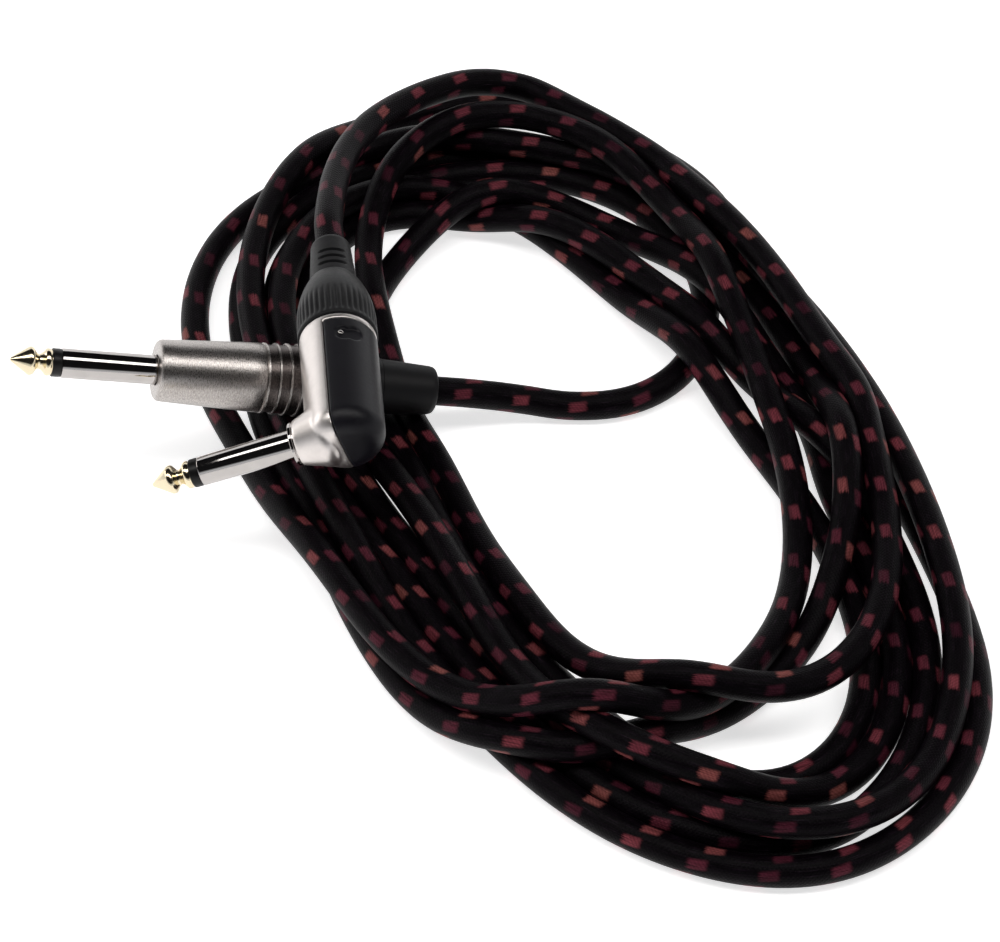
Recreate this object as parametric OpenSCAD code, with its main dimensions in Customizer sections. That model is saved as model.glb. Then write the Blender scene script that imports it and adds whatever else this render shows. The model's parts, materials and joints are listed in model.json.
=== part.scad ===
// Instrument cable: a loose coil of woven-jacket cable with a straight phone plug on one end
// and a right-angle phone plug on the other. Millimetres, +Z up, standing surface at Z = 0.
// The origin is on the standing surface, under the middle of the whole cable.

/* [Cable] */
// Diameter of the woven jacket
cable_d = 6.4; // [6.2:0.1:6.4]
// Height of the coil's stack of turns
coil_height = 15; // [12:0.5:16]

/* [Phone plug finger] */
// Diameter of the finger's ground sleeve
finger_d = 6.35; // [6.3:0.01:6.4]
// Length of the finger from its seat to the end of the tip
finger_length = 31.4; // [30:0.1:32]
// Length of the ground sleeve that shows
sleeve_length = 20.6; // [19:0.1:21]
// Width of the insulator ring between sleeve and tip
ring_width = 2; // [1.5:0.1:2.5]

/* [Straight plug] */
// Length of the metal barrel
barrel_length = 32.6; // [31:0.1:34]
// Diameter of the barrel at its front face
barrel_front_d = 13.3; // [13:0.1:14]
// Diameter of the barrel at its rear
barrel_rear_d = 15.9; // [15.5:0.1:16]
// Diameter of the screwed collar behind the barrel
straight_collar_d = 14.4; // [14:0.1:14.4]
// Length of the collar
straight_collar_length = 16.2; // [15:0.1:17]
// Length of the soft tail behind the collar
straight_tail_length = 13; // [12:0.5:15]
// Height of the finger's seat above the standing surface
straight_seat_height = 26.8; // [26.8:0.1:28]
// Tilt of the plug above the horizontal, degrees
straight_tilt = 15; // [14:0.5:15]

/* [Right-angle plug] */
// Diameter of the metal housing's barrel
housing_d = 16.6; // [16.5:0.1:17]
// Distance from the crossing of the plug's two axes to the housing's front end
housing_front = 5.6; // [5.5:0.1:6.5]
// Distance from the crossing to the housing's rear rim
housing_rear = 27; // [26:0.1:28]
// Distance from the crossing to the finger's seat
nose_reach = 11.3; // [11.2:0.1:11.8]
// Diameter of the nose at the finger's seat
nose_d = 9; // [8.8:0.1:9.2]
// Diameter of the screwed collar at its base
angle_collar_d = 17.2; // [16.8:0.1:17.2]
// Length of the collar
angle_collar_length = 17.6; // [17:0.1:18.5]
// Length of the soft tail that shows behind the collar
angle_tail_length = 12.5; // [11:0.5:14]
// Height of the crossing of the plug's two axes
angle_height = 33.2; // [33.2:0.1:34]
// Droop of the finger below the horizontal, degrees
angle_droop = 17.5; // [15:0.5:18]

/* [Hidden] */

$fn = 64;
eps = 0.05;                // gap between pieces stacked in one plug
cable_r = cable_d / 2;
finger_r = finger_d / 2;

// Finger: everything behind the seat is measured from the seat, towards the cable
neck_r = finger_r - 0.18;  // the insulator ring, and the sleeve behind the seat, are slimmer
sleeve_bore_r = 1.95;
rod_r = 1;
rod_insulator_r = 1.9;
flange_thick = 1.6;
clamp_thick = 0.5;
washer_thick = 0.8;
washer_r = 3.2;
lug_thick = 0.5;
lug_r = 2.4;
rivet_r = 1.5;
rivet_thick = 0.6;
straight_neck = 1.25 + eps;
straight_flange_r = 5;
angle_neck = 5.4;
angle_flange_r = 4.4;

// Pieces behind the finger
screw_r = 6.33;            // outside of a collar's screwed end
screw_bore_r = 6.4;        // inside of the metal round it
chuck_space_r = 5.2;       // inside of a collar, round the chuck
chuck_r = 5.12;
chuck_bore_r = 3.25;
chuck_length = 15;
tail_bore_r = cable_r + 0.1;
collar_eye_r = 4.3;        // hole in a collar's end, round the tail's stem
screw_length = 10;
joint_gap = 0.15;          // between a collar and the metal rim in front of it
core_r = 1.5;
conductor_r = 0.6;
shield_r = 0.7;
ridge_at = 23.2;           // first of the barrel's four ridges, from its front face
ridge_pitch = 2.48;
ridge_width = 0.5;
housing_round = 4.5;       // rounding of the right-angle housing's front end
recess_turn = -57;         // the cover's prying recess, round the barrel from its middle

// Where the plugs lie
straight_seat = [-71.5, -0.3, straight_seat_height];
straight_heading = 190;
straight_back = [-cos(straight_tilt) * cos(straight_heading),
                 -cos(straight_tilt) * sin(straight_heading),
                 -sin(straight_tilt)];
straight_end = barrel_length + joint_gap + straight_collar_length + straight_tail_length;
angle_crossing = [-30.1, -25, angle_height];
angle_heading = 5;
angle_back = [-sin(angle_heading), cos(angle_heading), 0];
angle_end = housing_rear + joint_gap + angle_collar_length + angle_tail_length;

// Boots back off along the cable by this much, and the cable is straight that far
boot_travel = 7.5;
jacket_hidden = 17;        // the jacket tubes start this far inside a tail's end

// The lead from the straight plug to the coil, and from the right-angle plug onto the coil
straight_lead = [[2, 12.6, 6.6], [9, 13.4, 4.5], [16, 13.2, 3.3], [24, 13.3, 3.2],
                 [31, 15, 3.2], [37, 18.5, 3.2], [42, 23.5, 3.2], [46, 29, 3.2]];
angle_lead = [[-35.6, 49, 31.8], [-34.8, 60, 29.6], [-32.6, 72, 27.2], [-28.4, 83.5, 24.8],
              [-22, 93.5, 22.4], [-14, 102, 20], [-5, 108.4, 17.6], [5, 110.4, 15.2]];

// Coil: distance of its outer and inner edges from its middle, every 22.5 degrees from +X
coil_middle = [16, 0];
coil_outer = [77, 73, 77, 92, 116, 123, 110, 90, 74, 67, 73, 87, 106, 129, 116, 89];
coil_inner = [40, 34, 35, 43, 61, 71, 56, 37, 29, 26, 28, 38, 65, 79, 63, 50];
coil_steps = 6;            // outline points between two of those directions
seat_gap = 0.45;           // room round a plug that lies in the coil

function unit(v) = v / norm(v);

// A smooth value between list entries i and i + 1 of a closed list
function between(list, i, t) =
    let (n = len(list), a = list[(i + n - 1) % n], b = list[i % n],
         c = list[(i + 1) % n], d = list[(i + 2) % n])
    b + 0.5 * t * (c - a + t * (2 * a - 5 * b + 4 * c - d + t * (3 * (b - c) + d - a)));

function outline(list) = [
    for (i = [0 : len(list) - 1], j = [0 : coil_steps - 1])
        let (turn = 360 * (i + j / coil_steps) / len(list), r = between(list, i, j / coil_steps))
        coil_middle + r * [cos(turn), sin(turn)]
];

// Direction of a path at its point i
function heading(path, i) = unit(path[min(i + 1, len(path) - 1)] - path[max(i - 1, 0)]);

// Points at equal angles round a circle of radius r about path point i
function section(path, i, r, sides) =
    let (ahead = heading(path, i), side = unit(cross(ahead, [0, 0, 1])), top = cross(side, ahead))
    [for (k = [0 : sides - 1])
        path[i] + r * (cos(360 * k / sides) * side + sin(360 * k / sides) * top)];

// Points along part of a circle in a profile, as [radius, height]
function bend(centre, r, from, to, steps = 8) =
    [for (k = [0 : steps]) centre + r * [cos(from + (to - from) * k / steps),
                                         sin(from + (to - from) * k / steps)]];

module straight_place() {
    translate(straight_seat)
        rotate([0, 90 - straight_tilt, straight_heading])
            children();
}

// In this frame +Z runs back along the cable and +X out along the finger
module angle_place() {
    translate(angle_crossing)
        rotate([0, 0, angle_heading])
            rotate([90, 0, 180])
                rotate([0, 0, -angle_droop])
                    children();
}

module angle_finger_place() {
    angle_place()
        translate([nose_reach, 0, 0])
            rotate([0, 90, 0])
                children();
}

module tube(outer, inner, from, to) {
    translate([0, 0, from])
        difference() {
            cylinder(r = outer, h = to - from);
            translate([0, 0, -1])
                cylinder(r = inner, h = to - from + 2);
        }
}

// Finger pieces: seat at Z = 0, tip at +Z
module finger_tip(neck) {
    base = sleeve_length + ring_width;
    rod_end = -(neck + flange_thick + clamp_thick + washer_thick + lug_thick + 4 * eps);
    rotate_extrude()
        polygon(concat(
            [[0, base + eps], [2.5, base + eps]],
            bend([2.1, base + 0.95], 0.85, -50, 55, 6),
            [[1.8, base + 2.3], [1.8, base + 2.8]],
            bend([1.95, finger_length - 4.4], 1, -45, 32, 7),
            bend([0, finger_length - 0.7], 0.7, 32, 90, 5)));
    translate([0, 0, rod_end])
        cylinder(r = rod_r, h = base - rod_end + 1);
    translate([0, 0, rod_end - rivet_thick])
        cylinder(r = rivet_r, h = rivet_thick);
}

module finger_ring() {
    tube(neck_r, rod_r + eps, sleeve_length + eps, sleeve_length + ring_width);
}

module finger_rod_insulator(neck) {
    tube(rod_insulator_r, rod_r + eps,
         -(neck + flange_thick + clamp_thick + washer_thick + 2 * eps), sleeve_length);
}

module finger_sleeve(neck, flange_r) {
    difference() {
        union() {
            cylinder(r = finger_r, h = sleeve_length);
            translate([0, 0, -neck - flange_thick])
                cylinder(r = neck_r, h = neck + flange_thick);
            translate([0, 0, -neck - flange_thick])
                cylinder(r = flange_r, h = flange_thick);
        }
        translate([0, 0, -neck - flange_thick - 1])
            cylinder(r = sleeve_bore_r, h = neck + flange_thick + sleeve_length + 2);
    }
}

module finger_washer(neck) {
    front = -(neck + flange_thick + clamp_thick + 2 * eps);
    tube(washer_r, rod_insulator_r + eps, front - washer_thick, front);
}

module finger_lug_disc(neck) {
    front = -(neck + flange_thick + clamp_thick + washer_thick + 3 * eps);
    tube(lug_r, rod_r + eps, front - lug_thick, front);
}

module finger_clamp_ring(neck, flange_r) {
    front = -(neck + flange_thick + eps);
    tube(flange_r - 0.3, rod_insulator_r + eps, front - clamp_thick, front);
}

// An open band that grips the jacket, open towards -X
module crimp(from, to) {
    difference() {
        tube(cable_r + 0.6, cable_r + 0.08, from, to);
        translate([-5, -1.6, from - 1])
            cube([4, 3.2, to - from + 2]);
    }
}

// A split bush that tapers at one end, with that end at Z = chuck_length
module chuck() {
    difference() {
        rotate_extrude()
            polygon([[chuck_bore_r, 0], [chuck_r, 0], [chuck_r, chuck_length - 6],
                     [chuck_r - 0.9, chuck_length], [chuck_bore_r, chuck_length]]);
        for (turn = [0, 90])
            rotate([0, 0, turn])
                translate([-chuck_r - 1, -0.5, 4])
                    cube([2 * chuck_r + 2, 1, chuck_length]);
    }
}

// Lengthwise flutes round a collar whose base is at Z = 0
module flutes(count, at_r, flute_r, from, to) {
    for (k = [0 : count - 1])
        rotate([0, 0, 360 * k / count])
            translate([at_r, 0, from])
                cylinder(r = flute_r, h = to - from, $fn = 24);
}

// Straight plug, built with the seat at Z = 0 and the cable towards -Z
module straight_tip() {
    color("khaki")
        straight_place()
            finger_tip(straight_neck);
}

module straight_insulator_ring() {
    color("dimgray")
        straight_place()
            finger_ring();
}

module straight_rod_insulator() {
    color("white")
        straight_place()
            finger_rod_insulator(straight_neck);
}

module straight_sleeve() {
    color("silver")
        straight_place()
            finger_sleeve(straight_neck, straight_flange_r);
}

module straight_ground_clamp() {
    front = -(straight_neck + flange_thick + eps);
    color("goldenrod")
        straight_place() {
            finger_clamp_ring(straight_neck, straight_flange_r);
            translate([cable_r + 0.1, -1.4, -24])
                cube([clamp_thick, 2.8, 24 + front]);
            crimp(-24, -20);
        }
}

module straight_rear_washer() {
    color("saddlebrown")
        straight_place()
            finger_washer(straight_neck);
}

module straight_tip_lug() {
    front = -(straight_neck + flange_thick + clamp_thick + washer_thick + 3 * eps);
    color("gold")
        straight_place() {
            finger_lug_disc(straight_neck);
            translate([-lug_r, -1, front - 3])
                cube([lug_thick, 2, 3]);
            translate([-lug_r, -1, front - 3.5])
                cube([lug_r - conductor_r - eps, 2, lug_thick]);
            translate([-conductor_r - eps - lug_thick, -1, -11])
                cube([lug_thick, 2, 11 + front - 3]);
        }
}

module straight_liner() {
    color("ivory")
        straight_place()
            tube(5.5, 4.9, -16, -3.5);
}

module straight_barrel() {
    front_r = barrel_front_d / 2;
    rear_r = barrel_rear_d / 2;
    color("lightgray")
        straight_place()
            difference() {
                rotate_extrude()
                    polygon([[finger_r + 0.08, 0], [front_r - 0.3, 0], [front_r, -0.4],
                             [front_r + 1, -21.6], [rear_r, -31], [rear_r, -barrel_length],
                             [screw_bore_r, -barrel_length], [screw_bore_r, -18],
                             [5.6, -18], [5.6, -1.25], [finger_r + 0.08, -1.25]]);
                for (k = [0 : 3])
                    translate([0, 0, -ridge_at - k * ridge_pitch])
                        tube(rear_r + 1, front_r + 0.75 + 0.08 * k,
                             ridge_width - ridge_pitch, 0);
            }
}

module straight_chuck() {
    color("gray")
        straight_place()
            translate([0, 0, -25])
                rotate([180, 0, 0])
                    chuck();
}

module straight_collar() {
    base = barrel_length + joint_gap;
    top = base + straight_collar_length;
    r = straight_collar_d / 2;
    color("black")
        straight_place()
            rotate([180, 0, 0])
                difference() {
                    rotate_extrude()
                        polygon(concat(
                            [[chuck_space_r, barrel_length - screw_length],
                             [screw_r, barrel_length - screw_length], [screw_r, base],
                             [r - 0.3, base], [r, base + 0.3]],
                            bend([r - 3, top - 3], 3, 0, 70),
                            [[collar_eye_r, top], [collar_eye_r, top - 5],
                             [chuck_space_r, top - 6]]));
                    flutes(32, r + 0.2, 0.45, base + 2, top - 4);
                }
}

module straight_tail() {
    top = straight_end;
    base = barrel_length + joint_gap + straight_collar_length + eps;
    color("black")
        straight_place()
            rotate([180, 0, 0])
                rotate_extrude()
                    polygon(concat(
                        [[tail_bore_r, base - 8], [5.1, base - 8], [5.1, base - 6.2],
                         [collar_eye_r - eps, base - 5.4], [collar_eye_r - eps, base],
                         [6.25, base]],
                        bend([4.5, top - 0.8], 0.8, 0, 90),
                        [[tail_bore_r, top]]));
}

module straight_jacket_end() {
    color([0.15, 0.12, 0.16])
        straight_place()
            translate([0, 0, jacket_hidden - straight_end])
                cylinder(r = cable_r, h = straight_end - jacket_hidden - 17);
}

module straight_shield() {
    color("peru")
        straight_place()
            translate([cable_r - shield_r + eps, 0, -17])
                cylinder(r = shield_r, h = 7);
}

module straight_core() {
    color("whitesmoke")
        straight_place()
            translate([0, 0, -17])
                cylinder(r = core_r, h = 4);
}

module straight_conductor() {
    color("chocolate")
        straight_place()
            translate([0, 0, -13])
                cylinder(r = conductor_r, h = 5);
}

// Right-angle plug
module angle_tip() {
    color("khaki")
        angle_finger_place()
            finger_tip(angle_neck);
}

module angle_insulator_ring() {
    color("dimgray")
        angle_finger_place()
            finger_ring();
}

module angle_rod_insulator() {
    color("white")
        angle_finger_place()
            finger_rod_insulator(angle_neck);
}

module angle_sleeve() {
    color("silver")
        angle_finger_place()
            finger_sleeve(angle_neck, angle_flange_r);
}

module angle_ground_clamp() {
    front = nose_reach - (angle_neck + flange_thick + eps);
    color("goldenrod") {
        angle_finger_place()
            finger_clamp_ring(angle_neck, angle_flange_r);
        angle_place() {
            translate([front - clamp_thick, -1.4, 2.6])
                cube([clamp_thick, 2.8, 17.4]);
            translate([cable_r + 0.1, -1.4, 16])
                cube([front - cable_r - 0.1, 2.8, 4]);
            crimp(16, 20);
        }
    }
}

module angle_rear_washer() {
    color("saddlebrown")
        angle_finger_place()
            finger_washer(angle_neck);
}

module angle_tip_lug() {
    front = nose_reach - (angle_neck + flange_thick + clamp_thick + washer_thick + 3 * eps);
    color("gold") {
        angle_finger_place()
            finger_lug_disc(angle_neck);
        angle_place() {
            translate([front - lug_thick, -1, 1.8])
                cube([lug_thick, 2, 3.7]);
            translate([conductor_r + eps, -1, 5])
                cube([front - conductor_r - eps, 2, lug_thick]);
            translate([conductor_r + eps, -1, 5])
                cube([lug_thick, 2, 4]);
        }
    }
}

// The barrel's outside, shrunk by a wall's thickness, from its rounded front end to its rear
module housing_form(wall, rear) {
    r = housing_d / 2 - wall;
    round_r = housing_round - wall;
    rotate_extrude()
        polygon(concat([[0, wall - housing_front]],
                       bend([r - round_r, round_r + wall - housing_front], round_r, -90, 0, 12),
                       [[r, rear], [0, rear]]));
}

// The cone that carries the finger, rounded where it comes out of the barrel
module housing_nose() {
    rotate([0, 90, 0])
        rotate_extrude()
            polygon(concat([[0, 1.7]], bend([4.7, 3.9], 2.2, -90, 17, 10),
                           [[nose_d / 2, nose_reach], [0, nose_reach]]));
}

module angle_housing() {
    color("lightgray")
        angle_place()
            difference() {
                union() {
                    difference() {
                        housing_form(0, housing_rear);
                        translate([0.75 - 20, -20, -20])
                            cube([20, 40, 20 + housing_rear - 1.5]);
                    }
                    translate([0, 0, 15])
                        cylinder(r = 7.15, h = housing_rear - 16);
                    housing_nose();
                }
                housing_form(1.6, 15);
                translate([0, 0, 10])
                    cylinder(r = screw_bore_r, h = housing_rear);
                rotate([0, 90, 0])
                    cylinder(r = finger_r + 0.08, h = nose_reach + 1);
                translate([2.9, 0, 0])
                    rotate([0, 90, 0])
                        cylinder(r = angle_flange_r + 0.2, h = nose_reach - angle_neck - 2.9);
            }
}

module angle_cover() {
    color("black")
        angle_place()
            difference() {
                housing_form(-0.05, housing_rear - 1.6);
                housing_form(1, housing_rear);
                translate([0.6, -20, -20])
                    cube([20, 40, 60]);
                rotate([0, 0, recess_turn])
                    translate([-housing_d / 2 - 1, 0, housing_rear - 6.5])
                        rotate([0, 90, 0])
                            for (side = [-1, 1])
                                translate([0, side * 1.1, 0])
                                    cylinder(r = 1.9, h = 1.5);
            }
}

module angle_chuck() {
    color("gray")
        angle_place()
            translate([0, 0, 21])
                chuck();
}

module angle_collar() {
    base = housing_rear + joint_gap;
    top = base + angle_collar_length;
    r = angle_collar_d / 2;
    color("black")
        angle_place()
            difference() {
                rotate_extrude()
                    polygon(concat(
                        [[chuck_space_r, housing_rear - screw_length],
                         [screw_r, housing_rear - screw_length], [screw_r, base],
                         [r - 0.4, base], [r, base + 0.4]],
                        bend([r - 26.2, base + 4.5], 26.2, 0, 30, 10),
                        [[collar_eye_r, top], [collar_eye_r, top - 5],
                         [chuck_space_r, top - 6]]));
                flutes(40, r + 0.25, 0.5, base + 1.2, base + 11);
            }
}

module angle_tail() {
    base = housing_rear + joint_gap + angle_collar_length + eps;
    top = angle_end;
    color("black")
        angle_place()
            difference() {
                rotate_extrude()
                    polygon(concat(
                        [[tail_bore_r, base - 8], [5.1, base - 8], [5.1, base - 6.2],
                         [collar_eye_r - eps, base - 5.4], [collar_eye_r - eps, base],
                         [5.2, base], [5.1, base + 1]],
                        bend([3.4, top - 0.9], 0.9, 0, 90),
                        [[tail_bore_r, top]]));
                rotate([0, 0, angle_droop])
                    for (side = [-1, 1], k = [0 : 2])
                        translate([-3.5, side * 5.55 - 1, base + 1.9 + 2.1 * k])
                            cube([7, 2, 0.9]);
            }
}

module angle_jacket_end() {
    color([0.15, 0.12, 0.16])
        angle_place()
            translate([0, 0, 14])
                cylinder(r = cable_r, h = angle_end - jacket_hidden - 14);
}

module angle_shield() {
    color("peru")
        angle_place()
            translate([cable_r - shield_r - 0.1, 0, 7])
                cylinder(r = shield_r, h = 7);
}

module angle_core() {
    color("whitesmoke")
        angle_place()
            translate([0, 0, 10])
                cylinder(r = core_r, h = 4);
}

module angle_conductor() {
    color("chocolate")
        angle_place()
            translate([0, 0, 3.5])
                cylinder(r = conductor_r, h = 6.5);
}

// Cable outside the plugs
module cable_run(path, sides = 12) {
    n = len(path);
    points = [for (i = [0 : n - 1]) each section(path, i, cable_r, sides)];
    walls = [for (i = [0 : n - 2], k = [0 : sides - 1])
        [i * sides + k, (i + 1) * sides + k,
         (i + 1) * sides + (k + 1) % sides, i * sides + (k + 1) % sides]];
    first = [for (k = [0 : sides - 1]) k];
    last = [for (k = [sides - 1 : -1 : 0]) (n - 1) * sides + k];
    polyhedron(points, concat([first], walls, [last]));
}

module cable_lead_straight() {
    hidden = straight_end - jacket_hidden;
    inside = [for (back = [hidden, straight_end - 6, straight_end + 2, straight_end + boot_travel])
        straight_seat + back * straight_back];
    color([0.2, 0.16, 0.2])
        cable_run(concat(inside, straight_lead));
}

module cable_lead_angle() {
    hidden = angle_end - jacket_hidden;
    inside = [for (back = [hidden, angle_end - 6, angle_end + 2, angle_end + boot_travel])
        angle_crossing + back * angle_back];
    color([0.2, 0.16, 0.2])
        cable_run(concat(inside, angle_lead));
}

module cable_coil() {
    color([0.17, 0.13, 0.17])
        difference() {
            linear_extrude(height = coil_height)
                difference() {
                    polygon(outline(coil_outer));
                    polygon(outline(coil_inner));
                }
            straight_place()
                translate([0, 0, -straight_end - boot_travel - 6])
                    cylinder(r = barrel_rear_d / 2 + seat_gap, h = straight_end + 40);
        }
}

straight_tip();
straight_insulator_ring();
straight_rod_insulator();
straight_sleeve();
straight_ground_clamp();
straight_rear_washer();
straight_tip_lug();
straight_liner();
straight_barrel();
straight_chuck();
straight_collar();
straight_tail();
straight_jacket_end();
straight_shield();
straight_core();
straight_conductor();
angle_tip();
angle_insulator_ring();
angle_rod_insulator();
angle_sleeve();
angle_ground_clamp();
angle_rear_washer();
angle_tip_lug();
angle_housing();
angle_cover();
angle_chuck();
angle_collar();
angle_tail();
angle_jacket_end();
angle_shield();
angle_core();
angle_conductor();
cable_lead_straight();
cable_lead_angle();
cable_coil();
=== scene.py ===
"""Instrument cable: a woven-jacket cable in a loose coil, a straight phone plug on one end and a
right-angle phone plug on the other. Metres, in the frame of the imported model."""
import json
import math

import bpy
import bmesh
import numpy as np
from mathutils import Matrix, Vector


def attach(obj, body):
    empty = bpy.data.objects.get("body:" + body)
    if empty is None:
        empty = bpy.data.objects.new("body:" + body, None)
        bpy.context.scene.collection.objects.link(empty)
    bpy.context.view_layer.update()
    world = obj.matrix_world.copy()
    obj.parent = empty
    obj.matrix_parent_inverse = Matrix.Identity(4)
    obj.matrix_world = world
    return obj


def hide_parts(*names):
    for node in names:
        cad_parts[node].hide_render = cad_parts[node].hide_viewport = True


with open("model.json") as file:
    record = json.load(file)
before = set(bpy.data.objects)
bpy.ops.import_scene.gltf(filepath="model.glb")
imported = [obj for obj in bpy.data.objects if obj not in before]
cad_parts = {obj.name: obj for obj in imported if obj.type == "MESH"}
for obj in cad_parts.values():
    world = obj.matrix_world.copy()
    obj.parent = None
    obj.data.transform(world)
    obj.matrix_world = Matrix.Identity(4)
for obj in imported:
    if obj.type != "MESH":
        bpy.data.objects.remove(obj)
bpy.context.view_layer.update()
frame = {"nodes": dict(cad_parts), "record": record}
MM = 0.001


# ---------------------------------------------------------------- places read from the frame

def mount_axis(name):
    """Seat point and outward direction of a plug's finger, in millimetres."""
    mount = next(m for m in frame["record"]["mounts"] if m["name"] == name)
    axis = np.array(mount["axis"], float)
    seat = np.array(mount["pos_m"]) / MM - axis * mount["dims"]["length_mm"] / 2
    return seat, axis


def joint_axis(name):
    """Point and direction of a hinge, in millimetres."""
    joint = next(j for j in frame["record"]["behaviour"]["joints"] if j["name"] == name)
    return np.array(joint["pos_m"]) / MM, np.array(joint["axis"], float)


STRAIGHT_SEAT, STRAIGHT_OUT = mount_axis("straight_plug_finger")
STRAIGHT_BACK = -STRAIGHT_OUT
ANGLE_SEAT, ANGLE_OUT = mount_axis("angle_plug_finger")
ANGLE_HINGE, ANGLE_BACK = joint_axis("angle_boot_turn")
NOSE_REACH = 11.3           # from the crossing of the right-angle plug's two axes to its seat
ANGLE_CROSSING = ANGLE_SEAT - NOSE_REACH * ANGLE_OUT


# ---------------------------------------------------------------- camera

TILT = math.radians(45)     # the camera looks down at 45 degrees
DISTANCE = 0.785
LOOKED_AT = Vector((0.002, -0.004, 0.0))

camera_data = bpy.data.cameras.new("camera")
camera_data.lens = 129.6
camera_data.sensor_width = 36.0
camera = bpy.data.objects.new("camera", camera_data)
camera.location = LOOKED_AT + DISTANCE * Vector((0, -math.cos(TILT), math.sin(TILT)))
camera.rotation_euler = (math.pi / 2 - TILT, 0, 0)
bpy.context.scene.collection.objects.link(camera)
bpy.context.scene.camera = camera


# ---------------------------------------------------------------- the cable's route, millimetres

CORD_D = 6.4
CORD_R = CORD_D / 2
STEP = 4.0                  # spacing of the route's points while the turns settle
HELD_AT_START = 70          # of the cable, which the turns' settling leaves alone
HELD_AT_END = 140
EVEN_ROUNDS = 1500          # passes that take short waves out of the listed points
STIFFNESS = 0.05            # how far one such pass straightens the cable
SETTLE_ROUNDS = 260
LAST_ROUNDS = 40            # of those, the ones in which the turns no longer sink
SINK = 0.03                 # how far a turn sinks in each round
PUSH = 0.22                 # share of an overlap that each of two turns gives way by in a round
LIFT = 0.5                  # share of an overlap with a plug that a turn gives way by
HOME = 0.04                 # pull back to where the turn was placed, seen from above
FARTHEST_MOVE = 1.2         # in a round
CLEAR_OF_PLUG = 0.25        # gap between a turn and a plug
COIL_MIDDLE = np.array([16.0, 0.0])
SPOKES = 16                 # directions round the middle in which each turn's distance is given

# Stations along the plugs' own axes where the cable still runs straight
STRAIGHT_STATIONS = [44.95, 55.95, 63.95, 69.45]
ANGLE_STATIONS = [40.25, 51.25, 59.25, 64.75]

# From the straight plug across the middle of the coil, and from the coil up to the other plug
STRAIGHT_LEAD = [(2, 12.6, 6.6), (9, 13.4, 4.5), (16, 13.2, 3.3), (24, 13.3, 3.2),
                 (31, 15, 3.2), (37, 18.5, 3.2), (42, 23.5, 3.2), (46, 29, 3.2)]
ANGLE_LEAD = [(-35.6, 49, 31.8), (-34.8, 60, 29.6), (-32.6, 72, 27.2), (-28.4, 83.5, 24.8),
              (-22, 93.5, 22.4), (-14, 102, 20), (-5, 108.4, 17.6), (5, 110.4, 15.2)]

# Each turn's distance from the coil's middle, every 22.5 degrees from +X; the first turn starts
# where the lead joins it and the last ends where the other lead leaves
FIRST_SPOKE = 3
DISTANCES = [
    [76, 90, 97, 89, 68, 55, 50, 52, 61, 89, 122, 103, 73],
    [56, 46, 44, 54, 65, 88, 82, 57, 42, 38, 41, 53, 86, 112.5, 97, 64.5],
    [56.5, 53, 55, 64, 77, 77, 61.5, 47.5, 37, 34, 37, 47, 72, 107.5, 88, 56],
    [43, 37, 38, 46, 66, 91, 86, 66, 51, 46, 46, 55, 84, 122.5, 111, 83],
    [70, 64.5, 68.5, 82.5, 115.5, 117, 97, 74, 59, 55, 59, 70, 100, 128.5, 116, 84],
    [67.5, 64.5, 71, 84, 98, 100, 98, 76, 62, 58, 63.5, 80.5, 92.5, 82, 74.5, 64],
    [59, 59.5, 64, 80, 93, 104.5, 106.5, 89.5, 70, 62.5, 66, 78, 88, 83, 66, 53],
    [46, 46, 52, 71, 99, 96, 61, 38, 29, 27, 30, 40, 66, 89.5, 88, 72],
    [64, 61, 65.5, 80.5, 105],
]
# Height of each turn's middle at the same places, before the turns settle on each other
HEIGHTS = [
    [3, 3, 3, 3, 3, 3, 3, 4, 6, 3, 3, 3, 3],
    [9, 8, 9, 8, 9, 4, 4, 6, 9, 10, 10, 10, 11, 12, 9, 9],
    [3, 4, 9, 10, 11, 8, 4, 3, 3, 4, 4, 4, 3, 3, 3, 4],
    [6, 8, 9, 6, 3, 4, 9, 9, 9, 8, 6, 3, 8, 9, 9, 10],
    [10, 9, 10, 11, 7, 10, 11, 10, 10, 10, 10, 7, 3, 3, 3, 3],
    [3, 3, 3, 3, 3, 6, 3, 3, 3, 4, 5, 8, 11, 9, 9, 12],
    [12, 7, 4, 5, 7, 3, 3, 4, 7, 9, 11, 13, 16, 13, 14, 14],
    [15, 15, 15, 15, 14, 15, 10, 6, 6, 7, 8, 9, 12, 18, 18, 17],
    [16, 15, 16, 16, 14],
]


def coil_points():
    """The turns as points, one for each direction of each turn."""
    points = []
    for turn, (distances, heights) in enumerate(zip(DISTANCES, HEIGHTS)):
        first = FIRST_SPOKE if turn == 0 else 0
        for spoke, (distance, height) in enumerate(zip(distances, heights), first):
            angle = 2 * math.pi * spoke / SPOKES
            across = COIL_MIDDLE + distance * np.array([math.cos(angle), math.sin(angle)])
            points.append((across[0], across[1], height))
    return points


def smooth_path(points, steps=16):
    """A smooth curve through the points."""
    p = np.array(points, float)
    p = np.vstack([2 * p[0] - p[1], p, 2 * p[-1] - p[-2]])
    t = (np.arange(steps) / steps)[:, None]
    runs = []
    for a, b, c, d in zip(p, p[1:], p[2:], p[3:]):
        runs.append(b + 0.5 * t * (c - a + t * (2 * a - 5 * b + 4 * c - d + t * (3 * (b - c) + d - a))))
    runs.append(p[-2][None])
    return np.vstack(runs)


def evenly(points, spacing):
    """The same curve with points at an even spacing."""
    along = np.concatenate([[0], np.cumsum(np.linalg.norm(np.diff(points, axis=0), axis=1))])
    wanted = np.linspace(0, along[-1], int(round(along[-1] / spacing)) + 1)
    return np.stack([np.interp(wanted, along, points[:, k]) for k in range(3)], axis=1)


def directions(points):
    ahead = np.gradient(points, axis=0)
    return ahead / np.linalg.norm(ahead, axis=1)[:, None]


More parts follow.
